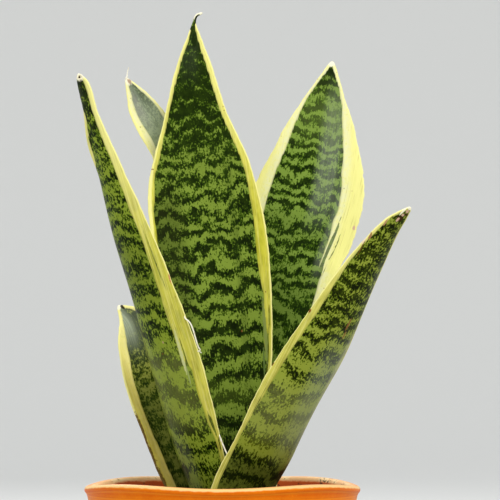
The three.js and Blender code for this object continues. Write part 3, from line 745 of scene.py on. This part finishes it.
# Marks, in mm: distance from the foot, place across from the middle, reach along and across, colour
MARKS = {
    "leaf_centre_tall": [
        (236, 16.6, 1.3, 0.8, RUST), (118, 12.2, 0.6, 0.4, RUST),
        (117, 24.7, 17, 0.95, linear(132, 146, 76)), (101, 23.2, 9, 0.5, linear(98, 118, 60)),
        (271, 0, 4, 1.5, UNDER_GREEN), (283.4, 0.9, 3.2, 0.9, UNDER_GREEN),
        (284.6, -0.9, 3.6, 0.9, TIP_CREAM), (288, 0, 2.6, 3, TIP_CREAM),
    ],
    "leaf_left_long": [
        (117, -3.9, 0.7, 0.5, linear(176, 150, 110)), (111, -1.5, 0.5, 0.4, BROWN),
        (111, -12.1, 13, 0.85, linear(202, 206, 142)), (98, -12.8, 6, 0.4, linear(150, 164, 100)),
        (147.6, -17.5, 3, 0.4, linear(196, 118, 92)), (257, 0, 3.2, 4, TIP_CREAM),
        (255.9, -0.2, 1.0, 0.8, DARK_SPOT),
    ],
    "leaf_back_left": [(259, 0, 4, 2.6, TIP_CREAM), (257, 0.8, 1.7, 1.1, linear(178, 150, 126))],
    "leaf_back_right": [
        (183.8, 28.4, 1.2, 0.8, PINK_SCAR), (205, 29.6, 0.8, 0.7, PINK_SCAR), (267, 0, 2.8, 3, TIP_CREAM),
    ],
    "leaf_front_right": [
        (178.4, 10.1, 2, 0.8, linear(236, 214, 178)), (181.8, 8.3, 2.2, 0.7, linear(156, 114, 74)),
        (174, 9.4, 4.5, 0.35, linear(98, 76, 22)), (191, 5.2, 2, 0.4, linear(176, 132, 96)),
        (135, 18.6, 1.4, 0.8, BROWN), (103, 23.1, 1.2, 0.7, BROWN),
        (136, -4.6, 3.4, 0.8, linear(136, 92, 50)), (130, -5.6, 2.2, 0.7, linear(140, 100, 58)),
        (203.4, 0.2, 1.3, 1.7, TIP_CREAM), (200, 1.9, 2.8, 0.5, TIP_CREAM),
        (201.3, 0, 1.1, 0.9, PINK_SCAR), (199.6, -1.1, 0.8, 1.1, DARK_SPOT),
        (198.4, 0.6, 0.9, 0.7, PINK_SCAR), (196, 0.6, 1.8, 1.7, DARK_SPOT),
        (195.2, 1, 1.3, 0.7, PINK_SCAR),
    ],
    "leaf_left_short": [
        (139.6, 0, 2, 3, TIP_CREAM), (137.6, 1.5, 1.5, 1.1, linear(24, 12, 8)),
        (74, -16.4, 10, 1.0, OLD_EDGE), (59, -15.9, 9, 1.2, OLD_EDGE), (46, -14.9, 8, 1.4, OLD_EDGE),
    ],
}


class LeafNodes(Nodes):
    """A leaf's material, with noise and patches laid out in mm on the leaf."""

    def __init__(self, node):
        super().__init__(LEAVES[node]["piece"])
        self.look, self.marks = LOOKS[node], MARKS[node]
        self.across, self.along = self.attribute("across"), self.attribute("along")
        self.share = self.attribute("share")

    def grain(self, wide, tall, offset, detail=2, rough=0.5):
        """Noise that is stretched over wide by tall mm of the leaf."""
        place = self.vector(self.across / wide, self.along / tall, self.look["seed"] + offset)
        return self.noise(place, detail=detail, rough=rough)

    def field(self, *grain):
        """The same noise about 0."""
        return self.grain(*grain) - 0.5

    def patch(self, centre, reach, start, end, soft=14):
        """A soft patch: 1 within reach of centre and from start to end, and 0 outside."""
        beside = self.step(self.maths("ABSOLUTE", self.across - centre), reach, 0.3 * reach)
        after = self.step(self.along, start - soft, start + soft)
        before = self.step(self.along, end + soft, end - soft)
        return beside * (after * before)


def leaf_bands(n, clumps, specks):
    """Zigzag cross bands, torn into teeth that run along the leaf, each with specks of the other."""
    look, share = n.look, n.share
    drift = n.field(21, 30, 0) * 2.0
    shift = n.across + n.field(30, 22, 3, 1) * 24
    vee = n.maths("PINGPONG", shift, look["vee"]) / look["vee"] - 0.5
    zigzag = vee * 0.45 + n.field(6, 12, 5, 1) * 1.35
    zigzag = zigzag * n.step(share, 0.2, 0.66, 0.3, look["bent"])
    teeth = n.field(0.9, 3.2, 9, 2, 0.6) * 0.85
    turns = n.attribute("phase") + drift + (zigzag + teeth)
    wave = n.maths("COSINE", turns * (2 * math.pi)) * -1.15
    clear = n.step(share, 0.3, 0.95, look["clear"], look.get("fading", 0.45) * look["clear"])
    clear = clear * n.step(n.field(13, 9, 75), -0.16, 0.12, 0.5, 1.15)
    level = wave * clear + clumps * look.get("clumps", 3.3) + specks * look.get("specks", 4.4)
    hatch = n.field(0.55, 4.2, 71) * n.step(share, 0.5, 0.25, 0, 3.2)
    start, end, dusk = look.get("dusk", (0.66, 0.93, -0.95))
    return level + hatch + (n.step(share, start, end, 0, dusk) + look["balance"])


def leaf_green(n, clumps, specks):
    """The three greens in bands, with a painted sheen of grey sky reflection in fine streaks, and patches
    of another colour, some of them painted shade and one a painted sheen.
    """
    dark, middle, light = (linear(*n.look[name]) for name in ("dark", "middle", "light"))
    level = leaf_bands(n, clumps, specks)
    tone = n.field(5, 4.5, 21, 3, 0.6)
    green = n.blend(n.step(tone, -0.1, 0.14, 0, 0.22), dark, middle)
    green = n.blend(n.step(level, -0.5, 0.0), green, middle)
    green = n.blend(n.step(level + tone * 1.6, 0.04, 0.5), green, light)
    streaks = n.grain(0.7, 40, 25)
    # painted sheen: grey sky reflection in fine streaks
    for *place, strength in n.look["sky_sheen"]:
        reflection_mask = n.patch(*place) * n.step(streaks, 0.36, 0.64, 0.8 * strength, 1.15 * strength)
        green = n.blend(reflection_mask, green, SKY_REFLECTION)
    # patches of another colour; some are painted shade and one is a painted sheen
    for *place, strength, colour in n.look["tints_and_shade"]:
        tints_and_shade = n.patch(*place) * n.step(clumps, -0.2, 0.1, strength, 0.75 * strength)
        green = n.blend(tints_and_shade, green, linear(*colour))
    return green


def leaf_yellow(n, inner, torn, green):
    """The margins, with olive patches, streaks, a paler outer line, and thin lines of the green."""
    look = n.look
    middle, margin, deep = (linear(*look[name]) for name in ("middle", "margin", "deep"))
    yellow = n.blend(n.step(n.grain(3.4, 9, 33, 3), 0.36, 0.6, look["olive"], 0), margin, deep)
    fine = n.step(n.grain(0.45, 30, 37), 0.4, 0.72, look["cream"], 0.32 + look["cream"])
    yellow = n.blend(fine, yellow, CREAM)
    yellow = n.blend(n.step(n.grain(0.5, 16, 61), 0.6, 0.72, 0, 0.4), yellow, STREAK)
    yellow = n.blend(n.step(n.share, 0.6, 0.95, 0, look.get("paler", 0.75)), yellow, CREAM)
    if "inner" in look:
        colour, strength = look["inner"]
        mottle = n.grain(1.7, 2.3, 81, 3, 0.6)
        band = n.step(inner + torn * 1.5, -6.5, -1.4)
        pale = band * n.step(mottle, 0.36, 0.58, 0.5 * strength, 1.3 * strength)
        yellow = n.blend(pale, yellow, linear(*colour))
        yellow = n.blend(band * n.step(mottle, 0.44, 0.3, 0, 0.3), yellow, MOTTLE)
    yellow = n.blend(n.step(inner, -1.1, 0.1, 0, 0.3), yellow, middle)
    yellow = n.blend(n.step(n.attribute("edge"), 0.12, 0.7, 0.9, 0), yellow, CREAM)
    line_green = n.blend(0.45, linear(*look.get("line", LINE_GREEN)), green)
    for k in range(LINES):
        thin = n.attribute(f"line_{k}") + torn * 0.2
        yellow = n.blend(n.step(thin, -0.15, 0.12, 0.92, 0), yellow, line_green)
    return yellow


def leaf_blemishes(n, colour, rim, specks):
    """Brown flecks, mostly in the margins, this leaf's marks, and soil splashed on the lowest part."""
    dots = n.cells(n.vector(n.across / 2.6, n.along / 3.4, n.look["seed"]))
    flecks = n.step(dots, 0.08, 0.16, 1, 0) * n.step(n.grain(6, 11, 41, 1), 0.58, 0.66)
    flecks = flecks * (rim * 0.65 + 0.1)
    colour = n.blend(flecks, colour, BROWN)
    harsh = flecks * 0.2
    for far, out, reach_along, reach_across, stain in n.marks:
        dx = (n.across - out) / reach_across
        dy = (n.along - far) / reach_along
        spot = n.maths("SQRT", dx * dx + dy * dy)
        spot = n.step(spot + specks * 1.1, 0.7, 1.15, 0.95, 0)
        colour = n.blend(spot, colour, stain)
        harsh = n.maths("MAXIMUM", harsh, spot * 0.25)
    splash = n.step(n.along, 35, 27) * n.step(n.grain(1.6, 2.2, 45, 3), 0.42, 0.6, 0.1, 0.75)
    return n.blend(splash, colour, SPLASH), n.maths("MAXIMUM", harsh, splash * 0.3)


def leaf_material(node):
    n = LeafNodes(node)
    clumps = n.field(*n.look.get("grain", (3.6, 3.0)), 13, 3, 0.62)
    specks = n.field(1.0, 1.45, 17, 2, 0.65)
    green = leaf_green(n, clumps, specks)
    torn = n.field(0.8, 12, 29) * 1.6
    inner = n.maths("MINIMUM", n.attribute("rim_minus"), n.attribute("rim_plus"))
    rim = n.step(inner + torn, -0.26, 0.26, 1, 0)
    colour = n.blend(rim, green, leaf_yellow(n, inner, torn, green))
    colour, harsh = leaf_blemishes(n, colour, rim, specks)
    dents = n.grain(5, 12, 57)
    relief = n.bump(dents, 0.35, 0.9)
    relief = n.bump(n.grain(0.55, 60, 49, 3), 0.4, 0.14, relief)
    relief = n.bump(n.grain(0.3, 0.5, 53, 1), 0.25, 0.05, relief)
    gloss = n.step(dents, 0.3, 0.7, 0.36, 0.5) + (rim * 0.04 + harsh)
    n.set(Sheen_Weight=0.008, Sheen_Roughness=0.4, Sheen_Tint=SHEEN)
    return n.finish(colour, gloss, relief, 0.1, Specular_Tint=(0.85, 1, 0.4, 1))


for number, (node, leaf) in enumerate(LEAVES.items()):
    blade_object(node, leaf, 10 * number + 5).data.materials.append(leaf_material(node))

# Fibres

STRAND_STAIN = linear(196, 170, 110)
STRAND_ACROSS = (0.1, 1, 0.05)
STRAND_SIDES = 7
STRAND_STEPS = 4


def strand_material(name, colour):
    n = Nodes(name)
    place = n.place_mm()
    stain = n.noise(place, scale=0.8, detail=3)
    stained = n.blend(n.step(stain, 0.45, 0.7, 0, 0.5), colour, STRAND_STAIN)
    return n.finish(stained, n.step(stain, 0.3, 0.7, 0.5, 0.7), n.bump(n.noise(place, scale=6), 0.4, 0.06))


def strand(name, path, radius, colour):
    """A thin tapered fibre along a path of points in mm, each with its share of the radius."""
    path = np.array(path, float)
    fine = np.linspace(0, len(path) - 1, STRAND_STEPS * (len(path) - 1) + 1)
    nearest = np.clip(np.floor(fine).astype(int), 0, len(path) - 2)
    t = (fine - nearest)[:, None]
    slope = np.gradient(path, axis=0)
    line = hermite(t, path[nearest], path[nearest + 1], slope[nearest], slope[nearest + 1])
    along = unit(np.gradient(line[:, :3], axis=0))
    side = unit(np.cross(along, STRAND_ACROSS))
    over = np.cross(side, along)
    turn = 2 * np.pi * np.arange(STRAND_SIDES) / STRAND_SIDES
    ring = side[:, None] * np.cos(turn)[None, :, None] + over[:, None] * np.sin(turn)[None, :, None]
    loops = line[:, None, :3] + radius * line[:, 3][:, None, None] * ring
    piece = closed_object(name, loops, line[[0, -1], :3])
    piece.data.materials.append(strand_material(name, colour))
    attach(piece, "root")


FIBRE_WHITE = linear(250, 246, 226)

# Two fibres that have peeled off the long left leaf's edge, the hair on the tip of the small leaf behind,
# and the long left leaf's curled tip, each as its radius in mm, its colour, and its points as x, y, z in
# mm and the share of the radius there.
STRANDS = {
    "peeled_fibre_upper": [
        0.36, FIBRE_WHITE, (-18.79, -32.0, 211.34, 0.6), (-18.25, -32.4, 209.47, 1),
        (-16.47, -32.8, 208.01, 1), (-15.14, -32.8, 205.92, 1), (-14.03, -32.5, 202.81, 1),
        (-13.28, -32.0, 200.15, 1), (-12.49, -31.4, 197.35, 1), (-11.61, -30.8, 195.0, 1),
        (-10.86, -30.4, 193.89, 1), (-11.31, -30.2, 193.35, 0.9), (-12.03, -29.6, 193.09, 0.8),
        (-11.18, -29.9, 193.04, 0.8), (-10.11, -30.0, 192.24, 0.4),
    ],
    "peeled_fibre_lower": [
        0.36, FIBRE_WHITE, (-1.47, -18.8, 151.36, 0.6), (-0.86, -19.4, 149.7, 1),
        (-0.2, -20.2, 147.84, 1.1), (1.07, -20.6, 144.82, 1), (2.19, -21.5, 142.33, 0.9),
        (3.01, -22.0, 140.83, 0.5),
    ],
    "tip_hair": [
        0.32, FIBRE_WHITE, (-51.2, 41.2, 335.09, 1.7), (-50.45, 41.2, 336.96, 1.4),
        (-50.38, 41.2, 338.09, 0.9), (-50.19, 41.2, 339.4, 0.8), (-49.78, 41.2, 340.9, 0.7),
        (-49.45, 41.2, 341.92, 0.3),
    ],
    "tip_curl": [
        0.5, TIP_CREAM, (-68.27, -48.0, 327.53, 0.9), (-68.97, -48.6, 329.0, 1),
        (-70.03, -48.6, 329.5, 1), (-70.81, -48.6, 329.1, 0.9), (-71.06, -48.6, 328.23, 0.8),
        (-71.3, -48.5, 327.53, 0.7), (-70.56, -48.4, 327.35, 0.8), (-69.5, -48.2, 327.42, 0.8),
        (-68.62, -48.0, 327.88, 0.6),
    ],
}
for name, (radius, colour, *path) in STRANDS.items():
    strand(name, path, radius, colour)

# Pot

POT_HEIGHT = 125
RIM_RADIUS = 70
FOOT_RADIUS = 43.5
WALL = 4.5
FLOOR = 8
CORNER = 4
CORNER_IN = 3
LIP_HEIGHT = 3.2
LIP_PROUD = 1.1
LIP_COVE = 1
LIP_UNDER = 3
# Points of the lip, in from the rim's radius and down from its height, and of the foot
LIP_SECTION = [(0.2, 3), (0, 2), (0.3, 0.8), (1.4, 0), (3.4, 0.1), (5, 1.2)]
FOOT_SECTION = [(0, 0), (FOOT_RADIUS - 3, 0), (FOOT_RADIUS - 0.9, 0.05), (FOOT_RADIUS + 0.1, 0.9)]
FOOT_TOP = 4
INSIDE_TOP = 118
SECTION_STEP = 2
WELL_STEP = 4
# The rim's wave: its mean, its rise at the front, its rise at front and back, and where it fades in
RIM_LIFT = 1
RIM_FRONT = 0.3
RIM_OVAL = 1.2
WAVE_START = 114
WAVE_FULL = 121
# Faint rings from the throwing, on the lower part of the wall's outside: height, rate and phase
RINGS = [(0.09, 1.35, 0), (0.06, 0.47, 1)]
RING_INSET = 0.16
RINGS_FROM = 5
RINGS_TO = 76
DRAINS = 3
DRAIN_RADIUS = 4.5
DRAIN_PLACE = 20
DRILL_LENGTH = 30
DRILL_SIDES = 32
POT_SIDES = 220
WALL_TOP = RIM_RADIUS - LIP_PROUD
WALL_LEAN = (WALL_TOP - FOOT_RADIUS) / (POT_HEIGHT - LIP_HEIGHT)


def outer_radius(height):
    return FOOT_RADIUS + WALL_LEAN * height


def inner_radius(height):
    return outer_radius(height) - WALL


def smoothed(points, rounds):
    """Corners cut again and again, which turns a rough section into a soft one; the ends stay."""
    for _ in range(rounds):
        cut = [points[0]]
        for a, b in zip(points, points[1:]):
            cut.append(tuple(0.75 * p + 0.25 * q for p, q in zip(a, b)))
            cut.append(tuple(0.25 * p + 0.75 * q for p, q in zip(a, b)))
        points = cut + [points[-1]]
    return points


def divided(points, longest):
    """The same section with no stretch longer than longest."""
    out = [points[0]]
    for a, b in zip(points, points[1:]):
        parts = max(1, math.ceil(math.dist(a, b) / longest))
        out += [tuple(p + (q - p) * k / parts for p, q in zip(a, b)) for k in range(1, parts + 1)]
    return out


def rim_wave(angle):
    """How far the rim stands over the pot's height at an angle from the front, in mm."""
    front = np.cos(angle)
    return RIM_LIFT + RIM_FRONT * front + RIM_OVAL * front**2 - np.cos(4 * angle)


def pot_section():
    """Radius and height of the points from the middle of the foot, over the rim, to the floor inside."""
    cove = POT_HEIGHT - LIP_HEIGHT - LIP_COVE
    lip = [(outer_radius(height), height) for height in (cove - LIP_UNDER, cove)]
    lip += [(RIM_RADIUS - inward, POT_HEIGHT - down) for inward, down in LIP_SECTION]
    inside_top = (inner_radius(INSIDE_TOP), INSIDE_TOP)
    outside = FOOT_SECTION + [(outer_radius(FOOT_TOP), FOOT_TOP)] + smoothed(lip + [inside_top], 2)
    well = [inside_top, (inner_radius(FLOOR + CORNER), FLOOR + CORNER)]
    well += [(inner_radius(FLOOR) - CORNER_IN, FLOOR), (0, FLOOR)]
    return np.array(divided(outside, SECTION_STEP) + divided(well, WELL_STEP)[1:]).T


def drill_drains(pot):
    for k in range(DRAINS):
        turn = 2 * math.pi * k / DRAINS
        place = (DRAIN_PLACE * math.sin(turn), -DRAIN_PLACE * math.cos(turn), FLOOR / 2)
        bpy.ops.mesh.primitive_cylinder_add(
            vertices=DRILL_SIDES,
            radius=DRAIN_RADIUS * MM,
            depth=DRILL_LENGTH * MM,
            location=[MM * v for v in place],
        )
        drill = bpy.context.object
        cut = pot.modifiers.new("hole", "BOOLEAN")
        cut.operation = "DIFFERENCE"
        cut.solver = "EXACT"
        cut.object = drill
        bpy.context.view_layer.objects.active = pot
        bpy.ops.object.modifier_apply(modifier=cut.name)
        bpy.data.objects.remove(drill)


def pot_object():
    radius, height = pot_section()
    angle = 2 * np.pi * np.arange(POT_SIDES) / POT_SIDES
    ringed = (radius > outer_radius(height) - WALL / 2) & (height > RINGS_FROM) & (height < RINGS_TO)
    rings = sum(swing * np.sin(height * rate + phase) for swing, rate, phase in RINGS)
    radius = radius - np.where(ringed, RING_INSET + rings, 0)
    share = smooth(np.clip((height - WAVE_START) / (WAVE_FULL - WAVE_START), 0, 1))
    ring = radius[1:-1, None]
    z = height[1:-1, None] + share[1:-1, None] * rim_wave(angle)
    loops = np.stack([ring * np.sin(angle), -ring * np.cos(angle), z], axis=-1)
    pot = closed_object("clay_pot", loops, [[0, 0, height[0]], [0, 0, height[-1]]])
    drill_drains(pot)
    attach(pot, "root")
    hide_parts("pot")
    return pot


def rim_marks(pot):
    """Marks each point with its depth below the wavy rim and its way out from the wall's middle."""
    points = np.empty(3 * len(pot.data.vertices))
    pot.data.vertices.foreach_get("co", points)
    x, y, z = points.reshape(-1, 3).T / MM
    add_attribute(pot, "down", POT_HEIGHT + rim_wave(np.arctan2(x, -y)) - z)
    add_attribute(pot, "out", np.hypot(x, y) - (outer_radius(z) - WALL / 2))


CLAY = linear(238, 121, 4)
CLAY_LIGHT = linear(251, 154, 34)
CLAY_DEEP = linear(214, 88, 0)
CLAY_RED = linear(196, 78, 34)
CLAY_BLOOM = linear(250, 214, 162)
# pale top of the lip: worn clay with a painted highlight
LIP_WEAR_AND_GLINT = linear(246, 206, 138)
DIRT = linear(70, 44, 30)
SPLASH_PLACE = (-54, -38.5, -124.5)


def clay_material():
    n = Nodes("fired_clay")
    place = n.place_mm()
    x, y, z = n.split(place)
    around = n.maths("SQRT", x * x + y * y)
    down, out = n.attribute("down"), n.attribute("out")
    outside, inside = n.step(out, -0.4, 0.4), n.step(out, 0.4, -0.4)
    mottle = n.noise(place, scale=0.045, detail=4, rough=0.6)
    speckle = n.noise(place, scale=0.9, detail=3, rough=0.7)
    turned = n.noise(n.vector(around * 0.05, 3, z * 0.8), detail=3)
    colour = n.blend(n.step(mottle, 0.36, 0.64, 0.25, 0.75), CLAY_DEEP, CLAY)
    colour = n.blend(n.step(turned, 0.42, 0.68, 0, 0.5), colour, CLAY_LIGHT)
    colour = n.blend(n.step(speckle, 0.54, 0.75, 0, 0.3), colour, CLAY_LIGHT)
    colour = n.blend(n.step(speckle, 0.42, 0.28, 0, 0.2), colour, CLAY_DEEP)
    # painted highlight: a faint lighter line along the lip's lower edge; and the pale top edge of the lip,
    # partly worn clay and partly a painted highlight
    fray = (n.noise(place, scale=0.35, detail=3) - 0.5) * 0.9
    under = n.step(n.maths("ABSOLUTE", down - 3.7), 0.5, 0.1) * outside
    colour = n.blend(under * 0.4, colour, CLAY_LIGHT)
    lip_wear_and_glint = n.step(down + fray, 1.8, 1.1) * (outside * n.step(down, 0.02, 0.5, 0.4, 0.92))
    colour = n.blend(lip_wear_and_glint, colour, LIP_WEAR_AND_GLINT)
    # inside: salts that the clay sweats out along the top, and redder clay further down
    salts = n.noise(place, scale=0.14, detail=5, rough=0.65) - 0.5
    redder_further_down = inside * n.step(down + salts * 4, 1.4, 3.2)
    colour = n.blend(redder_further_down * 0.9, colour, CLAY_RED)
    bloom = n.step(out, 0.9, -0.9) * n.step(down + salts * 3, 2.9, 1.5)
    pinks = n.step(salts, -0.08, 0.1, 0.7, 1.0)
    colour = n.blend(bloom * pinks, colour, CLAY_BLOOM)
    foot = n.step(z - mottle * 30, 10, -14) * 0.2
    colour = n.blend(foot, colour, CLAY_BLOOM)
    # soil splashed inside, most of it at the back on the right
    crumbs = n.noise(place, scale=0.5, detail=4, rough=0.7)
    patch = n.noise(place, scale=0.06, detail=1)
    splash = n.step(crumbs, 0.6, 0.66) * n.step(patch, 0.48, 0.6)
    away = n.add("ShaderNodeVectorMath", {0: place, 1: SPLASH_PLACE}, operation="ADD")
    near = n.step(n.length(away), 7.5, 3)
    splash = n.maths("MAXIMUM", splash, near * n.step(n.noise(place, scale=0.8, detail=3), 0.52, 0.6))
    splash = splash * (inside * 0.85 + 0.06)
    colour = n.blend(splash, colour, DIRT)
    grain = n.noise(place, scale=2.2, detail=3, rough=0.6)
    relief = n.bump(turned, 0.3, 0.3)
    relief = n.bump(mottle, 0.15, 1.2, relief)
    relief = n.bump(grain, 0.25, 0.1, relief)
    gloss = n.step(speckle, 0.3, 0.7, 0.36, 0.5) + n.maths("MAXIMUM", bloom, splash) * 0.25
    return n.finish(colour, gloss, relief, 0.14, Specular_Tint=(1, 0.82, 0.4, 1))


clay = pot_object()
rim_marks(clay)
clay.data.materials.append(clay_material())

# Soil, crumbs and rhizome

SOIL_DARK = linear(44, 32, 24)
SOIL_WARM = linear(86, 62, 42)
SOIL_PALE = linear(150, 128, 100)
BARK = linear(112, 76, 48)


def soil_material():
    n = Nodes("potting_mix")
    place = n.place_mm()
    lumps = n.noise(place, scale=0.35, detail=4, rough=0.7)
    cells = n.cells(place, scale=0.3, output="Color")
    pick = n.split(cells)[0]
    colour = n.blend(n.step(lumps, 0.4, 0.62), SOIL_DARK, SOIL_WARM)
    colour = n.blend(n.step(pick, 0.2, 0.9, 0, 0.45), colour, SOIL_WARM)
    colour = n.blend(n.step(pick, 0.93, 0.98, 0, 0.6), colour, SOIL_PALE)
    fibres = n.noise(n.scaled(place, (0.4, 2.2, 1.4)), detail=3, rough=0.7)
    relief = n.bump(lumps, 0.8, 1.4)
    relief = n.bump(fibres, 0.6, 0.5, relief)
    return n.finish(colour, n.step(lumps, 0.3, 0.7, 0.82, 0.97), relief)


def crumb_material():
    n = Nodes("soil_crumbs")
    place = n.place_mm()
    tint = n.attribute("tint")
    grain = n.noise(n.scaled(place, (0.9, 2.4, 1.6)), detail=4, rough=0.7)
    colour = n.blend(n.step(tint, 0, 0.6), SOIL_DARK, SOIL_WARM)
    colour = n.blend(n.step(tint, 0.6, 0.85), colour, BARK)
    colour = n.blend(n.step(tint, 0.93, 0.96, 0, 0.8), colour, SOIL_PALE)
    colour = n.blend(n.step(grain, 0.62, 0.36, 0, 0.6), colour, SOIL_DARK)
    return n.finish(colour, n.step(grain, 0.3, 0.7, 0.75, 0.95), n.bump(grain, 0.7, 0.35))


def rhizome_material():
    n = Nodes("rhizome_skin")
    place = n.place_mm()
    x, y, z = n.split(place)
    mottle = n.noise(place, scale=0.12, detail=4, rough=0.6)
    rings = n.noise(n.vector(x * 0.05, y * 0.05, z * 0.9), detail=3)
    colour = n.blend(n.step(mottle, 0.36, 0.64), linear(200, 150, 84), linear(226, 186, 120))
    colour = n.blend(n.step(rings, 0.5, 0.62, 0, 0.6), colour, linear(140, 92, 50))
    relief = n.bump(rings, 0.6, 0.8)
    relief = n.bump(mottle, 0.4, 1, relief)
    return n.finish(colour, n.step(mottle, 0.3, 0.7, 0.55, 0.8), relief)


def dress(node, material):
    """Gives a node of the solids that stays as it is its material."""
    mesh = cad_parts[node].data
    mesh.materials.clear()
    mesh.materials.append(material)


CRUMB_COUNT = 1300
CRUMB_CLEAR = 0.7
CRUMB_SMALLEST = 0.5
CRUMB_RANGE = 1.5
CRUMB_SMALLNESS = 2.2
CRUMB_STRETCH = (0.75, 1.25)
CRUMB_TILT = (-0.5, 0.5)
CRUMB_LUMPS = (0.72, 1.18)
CRUMB_RAISED = 0.25
CHIP_SHARE = 0.16
CHIP_STRETCH = ((1.2, 1.9), (0.6, 1), (0.3, 0.45))
SOIL_LOW = 110.5
SOIL_GAP = 1.5
ABOVE_SOIL = 200
# Where the leaves pass through the soil, from their feet, in rows, columns and layers of points
FOOTPRINT_SPAN = (18, 42)
FOOTPRINT_ROWS = 13
FOOTPRINT_COLUMNS = 61
FOOTPRINT_LAYERS = (0, 0.25, 0.5, 0.75, 1)


def leaf_footprints():
    """Points all through each leaf's section at the height of the soil."""
    found = []
    for leaf in LEAVES.values():
        blade = Blade(leaf, np.linspace(*FOOTPRINT_SPAN, FOOTPRINT_ROWS))
        across = np.tile(np.linspace(-1, 1, FOOTPRINT_COLUMNS), (FOOTPRINT_ROWS, 1))
        thick = blade.thickness(across)
        for layer in FOOTPRINT_LAYERS:
            found.append(blade.place(across, thick, layer)[0].reshape(-1, 3))
    return np.concatenate(found)[:, :2]


def ball():
    """Points and triangles of a rough ball."""
    mesh = bmesh.new()
    bmesh.ops.create_icosphere(mesh, subdivisions=1, radius=1)
    points = np.array([v.co for v in mesh.verts])
    sides = np.array([[v.index for v in f.verts] for f in mesh.faces])
    mesh.free()
    return points, sides


def crumbs_object():
    """Crumbs of soil and chips of bark, half sunk in the top of the soil and clear of the leaves."""
    rng = random.Random(77)
    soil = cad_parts["soil"].data
    tree = BVHTree.FromPolygons([v.co for v in soil.vertices], [tuple(p.vertices) for p in soil.polygons])
    footprints = leaf_footprints()
    points, sides = ball()
    reach = inner_radius(SOIL_LOW) - SOIL_GAP
    positions, faces, tints = [], [], []
    while len(tints) < CRUMB_COUNT:
        radius, turn = reach * math.sqrt(rng.random()), rng.uniform(0, 2 * math.pi)
        size = CRUMB_SMALLEST + CRUMB_RANGE * rng.random() ** CRUMB_SMALLNESS
        chip = rng.random() < CHIP_SHARE
        stretch = [size * rng.uniform(*CRUMB_STRETCH) for _ in range(3)]
        if chip:
            stretch = [size * rng.uniform(*limits) for limits in CHIP_STRETCH]
        spin = Euler([rng.uniform(*limits) for limits in (CRUMB_TILT, CRUMB_TILT, ANY_TURN)]).to_matrix()
        lumps = [rng.uniform(*CRUMB_LUMPS) for _ in points]
        tint = rng.random()
        x, y = radius * math.cos(turn), radius * math.sin(turn)
        widest = max(stretch) * CRUMB_LUMPS[1]
        if radius + widest > reach or np.hypot(*(footprints - (x, y)).T).min() < widest + CRUMB_CLEAR:
            continue
        hit, _, _, _ = tree.ray_cast((x * MM, y * MM, ABOVE_SOIL * MM), (0, 0, -1))
        if hit is None or hit.z < SOIL_LOW * MM:
            continue
        shape = points * np.array(lumps)[:, None] * stretch
        shape = shape @ np.array(spin).T + (x, y, hit.z / MM + CRUMB_RAISED * stretch[2])
        faces.extend((sides + len(positions) * len(points)).tolist())
        positions.append(shape)
        tints.append(tint)
    piece = new_object("soil_crumbs", np.concatenate(positions), faces, rounded=False)
    add_attribute(piece, "tint", np.repeat(tints, len(points)))
    piece.data.materials.append(crumb_material())
    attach(piece, "root")


dress("soil", soil_material())
dress("rhizome", rhizome_material())
crumbs_object()

# Stage and light

# In metres, with the turn of the curve in degrees
STAGE_RINGS = 8
STAGE_RING = 0.35
STAGE_FLAT = 2.9
STAGE_CURVE = 1.9
STAGE_TURN = 85
STAGE_STEPS = 16
STAGE_SIDES = 96


def stage_object():
    """A flat pale floor that curves up softly all round, far from the part."""
    section = [(STAGE_RING * k, 0) for k in range(1, STAGE_RINGS + 1)]
    for k in range(STAGE_STEPS + 1):
        turn = math.radians(STAGE_TURN) * k / STAGE_STEPS
        section.append((STAGE_FLAT + STAGE_CURVE * math.sin(turn), STAGE_CURVE * (1 - math.cos(turn))))
    angle = -2 * np.pi * np.arange(STAGE_SIDES) / STAGE_SIDES
    radius, height = np.array(section).T
    x, y = radius[:, None] * np.cos(angle), radius[:, None] * np.sin(angle)
    loops = np.stack([x, y, height[:, None] + 0 * x], axis=-1).reshape(-1, 3)
    positions = np.concatenate([loops, [[0, 0, 0]]]) / MM
    faces = grid_faces(len(section), STAGE_SIDES)
    faces += [(len(loops), (k + 1) % STAGE_SIDES, k) for k in range(STAGE_SIDES)]
    return new_object("floor", positions, faces)


def floor_material():
    """A faintly uneven grey that grows paler away from the part."""
    n = Nodes("pale_floor")
    place = n.object_place()
    uneven = n.step(n.noise(place, scale=3, detail=3), 0.3, 0.7)
    near = n.blend(uneven, (0.5, 0.5, 0.49, 1), (0.53, 0.53, 0.52, 1))
    colour = n.blend(n.step(n.length(place), 0.4, 2.4), near, (0.79, 0.79, 0.775, 1))
    n.set(Base_Color=colour, Roughness=0.8, Specular_IOR_Level=0.15)
    return n.material


floor = stage_object()
floor.data.materials.append(floor_material())

AIM = (0, 0, 0.2)


def area_light(name, place, size, power, colour):
    """A round lamp, with its place and size in metres and its power in watts, that looks at AIM."""
    data = bpy.data.lights.new(name, "AREA")
    data.shape = "DISK"
    data.size = size
    data.energy = power
    data.color = colour
    lamp = bpy.data.objects.new(name, data)
    lamp.location = place
    lamp.rotation_euler = (Vector(AIM) - Vector(place)).to_track_quat("-Z", "Y").to_euler()
    bpy.context.scene.collection.objects.link(lamp)


area_light("key", (0.9, -1.5, 1.9), 0.9, 30, (1, 0.98, 0.94))
area_light("fill", (-1.7, -1.1, 1.0), 1.3, 8, (0.96, 0.99, 1))
area_light("back", (-0.6, 1.5, 1.5), 0.9, 16, (1, 1, 1))

world = bpy.data.worlds.new("studio")
world.use_nodes = True
background = world.node_tree.nodes["Background"]
background.inputs["Color"].default_value = (0.9, 0.92, 0.93, 1)
background.inputs["Strength"].default_value = 0.85
bpy.context.scene.world = world
bpy.context.scene.view_settings.view_transform = "Standard"
